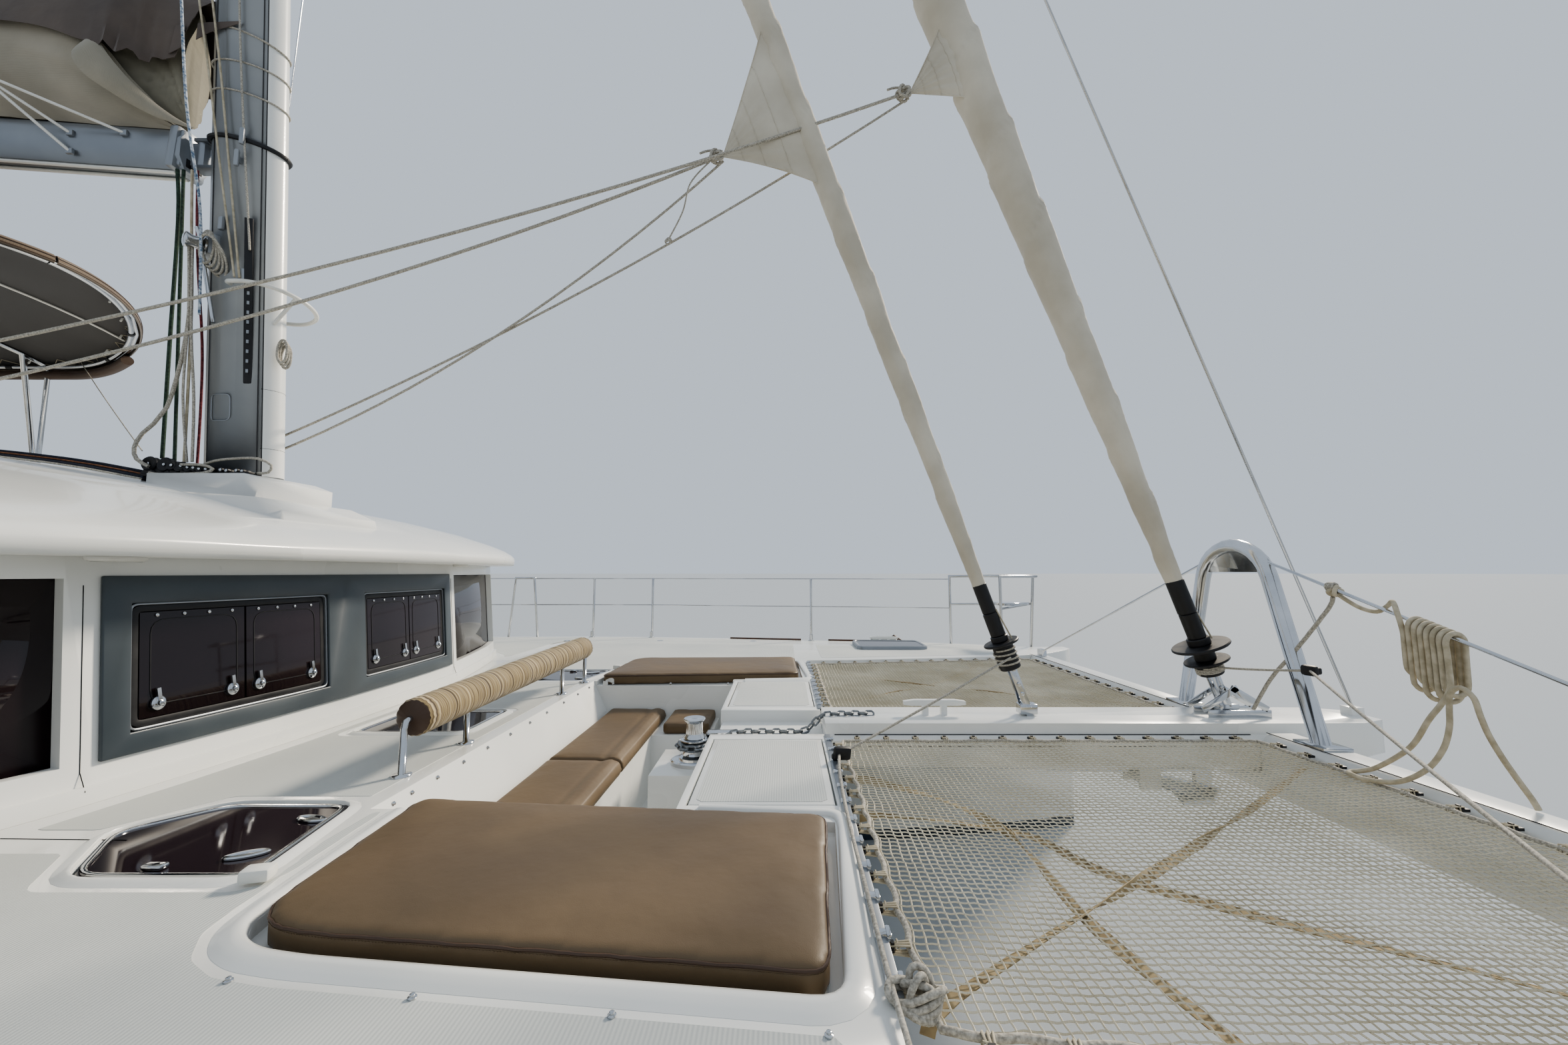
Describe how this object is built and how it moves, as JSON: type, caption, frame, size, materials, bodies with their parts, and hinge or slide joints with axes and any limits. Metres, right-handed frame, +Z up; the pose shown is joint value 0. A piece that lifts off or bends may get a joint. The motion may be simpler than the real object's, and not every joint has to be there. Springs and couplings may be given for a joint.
{
  "type": "sailing catamaran",
  "caption": "Cruising catamaran with fore cockpit, netted foredeck, coachroof and flybridge, furled headsails and stowed mainsail, afloat",
  "frame": {"origin": "on the waterline, amidships, on the centreline", "axes": "+X towards the bows, +Y to port, +Z up"},
  "size_m": [13.94, 7.94, 21.9],
  "materials": {
    "gelcoat": "polished white gelcoat, non-skid on the decks",
    "slate": "slate grey window surround",
    "glass": "tinted acrylic",
    "alloy": "satin anodised",
    "steel": "polished stainless steel",
    "black": "black moulded furling gear",
    "leather": "taupe vinyl leather",
    "canvas": "woven acrylic canvas",
    "sailcloth": "cream sail cover cloth",
    "net": "knotted beige cord",
    "bronze": "cast bronze",
    "antifoul": "dark antifouling paint",
    "laminate": "teak table tops",
    "engine": "grey engine paint"
  },
  "bodies": {
    "root": {"hull_starboard": "gelcoat", "hull_port": "gelcoat", "bridgedeck": "gelcoat", "coachroof_walls": "gelcoat", "roof": "gelcoat", "crossbeam": "gelcoat", "longeron": "gelcoat", "helm_console": "gelcoat", "front_window_surround": "slate", "front_glass": "glass", "side_glass_starboard": "glass", "side_glass_port": "glass", "saloon_table": "laminate", "cockpit_table": "laminate", "saloon_settee": "leather", "bench_cushion": "leather", "port_seat_pad": "leather", "aft_cushion": "leather", "sunpad_starboard": "leather", "sunpad_port": "leather", "mast": "alloy", "staysail_furled": "sailcloth", "genoa_furled": "sailcloth", "staysail_furler": "black", "genoa_furler": "black", "sprit_stay": "steel", "striker_arch": "steel", "bolster_rail": "steel", "windlass": "steel", "anchor": "steel", "bimini_frame": "steel", "shrouds_starboard": "steel", "shrouds_port": "steel", "side_rails_starboard": "steel", "side_rails_port": "steel", "bolster": "canvas", "bimini_canopy": "canvas", "trampoline_starboard": "net", "trampoline_port": "net", "engine_starboard": "engine", "engine_port": "engine"},
    "boom_body": {"boom": "alloy", "mainsail_stack": "sailcloth"},
    "wheel_body": {"steering_wheel": "steel"},
    "capstan_body": {"windlass_capstan": "steel"},
    "saloon_door_body": {"saloon_door": "glass"},
    "deck_hatch_middle_body": {"deck_hatch_middle": "glass"},
    "rudder_starboard_body": {"rudder_starboard": "antifoul"},
    "propeller_starboard_body": {"propeller_starboard": "bronze"},
    "engine_lid_starboard_body": {"engine_lid_starboard": "gelcoat"},
    "locker_lid_starboard_body": {"locker_lid_starboard": "gelcoat"},
    "deck_hatch_starboard_body": {"deck_hatch_starboard": "glass"},
    "rudder_port_body": {"rudder_port": "antifoul"},
    "propeller_port_body": {"propeller_port": "bronze"},
    "engine_lid_port_body": {"engine_lid_port": "gelcoat"},
    "locker_lid_port_body": {"locker_lid_port": "gelcoat"},
    "deck_hatch_port_body": {"deck_hatch_port": "glass"}
  },
  "joints": [
    {"name": "boom_swing", "type": "hinge", "parent": "root", "child": "boom_body", "pos_m": [1.1601, 0, 4.53], "axis": [0, 0, 1], "range_deg": [-40, 40]},
    {"name": "wheel_turn", "type": "hinge", "parent": "root", "child": "wheel_body", "pos_m": [-1.7, 0, 3.42], "axis": [1, 0, 0], "range_deg": [-450, 450]},
    {"name": "rudder_starboard_turn", "type": "hinge", "parent": "root", "child": "rudder_starboard_body", "pos_m": [-5.98, -2.85, -0.3], "axis": [0, 0, 1], "range_deg": [-35, 35]},
    {"name": "propeller_starboard_spin", "type": "hinge", "parent": "root", "child": "propeller_starboard_body", "pos_m": [-4.79, -2.85, -0.79], "axis": [1, 0, 0], "continuous": true},
    {"name": "engine_lid_starboard_lift", "type": "hinge", "parent": "root", "child": "engine_lid_starboard_body", "pos_m": [-4.48, -2.99, 1.62], "axis": [1, 0, 0], "range_deg": [0, 85]},
    {"name": "locker_lid_starboard_lift", "type": "hinge", "parent": "root", "child": "locker_lid_starboard_body", "pos_m": [4.39, -0.645, 1.62], "axis": [0, 1, 0], "range_deg": [0, 95]},
    {"name": "deck_hatch_starboard_lift", "type": "hinge", "parent": "root", "child": "deck_hatch_starboard_body", "pos_m": [2.7, -0.994, 1.62], "axis": [-1, 0, 0], "range_deg": [0, 75]},
    {"name": "rudder_port_turn", "type": "hinge", "parent": "root", "child": "rudder_port_body", "pos_m": [-5.98, 2.85, -0.3], "axis": [0, 0, 1], "range_deg": [-35, 35]},
    {"name": "propeller_port_spin", "type": "hinge", "parent": "root", "child": "propeller_port_body", "pos_m": [-4.79, 2.85, -0.79], "axis": [1, 0, 0], "continuous": true},
    {"name": "engine_lid_port_lift", "type": "hinge", "parent": "root", "child": "engine_lid_port_body", "pos_m": [-4.48, 2.99, 1.62], "axis": [-1, 0, 0], "range_deg": [0, 85]},
    {"name": "locker_lid_port_lift", "type": "hinge", "parent": "root", "child": "locker_lid_port_body", "pos_m": [4.39, 0.645, 1.62], "axis": [0, 1, 0], "range_deg": [0, 95]},
    {"name": "deck_hatch_port_lift", "type": "hinge", "parent": "root", "child": "deck_hatch_port_body", "pos_m": [2.7, 0.994, 1.62], "axis": [1, 0, 0], "range_deg": [0, 75]},
    {"name": "deck_hatch_middle_lift", "type": "hinge", "parent": "root", "child": "deck_hatch_middle_body", "pos_m": [2.29, 0, 1.62], "axis": [0, -1, 0], "range_deg": [0, 60]},
    {"name": "capstan_spin", "type": "hinge", "parent": "root", "child": "capstan_body", "pos_m": [3.8, -0.02, 1.58], "axis": [0, 0, 1], "continuous": true},
    {"name": "saloon_door_slide", "type": "slide", "parent": "root", "child": "saloon_door_body", "axis": [0, -1, 0], "range_m": [0, 0.9]}
  ],
  "couplings": [
    {"joint": "rudder_starboard_turn", "follows": "wheel_turn", "ratio": 0.0777},
    {"joint": "rudder_port_turn", "follows": "wheel_turn", "ratio": 0.0777}
  ]
}
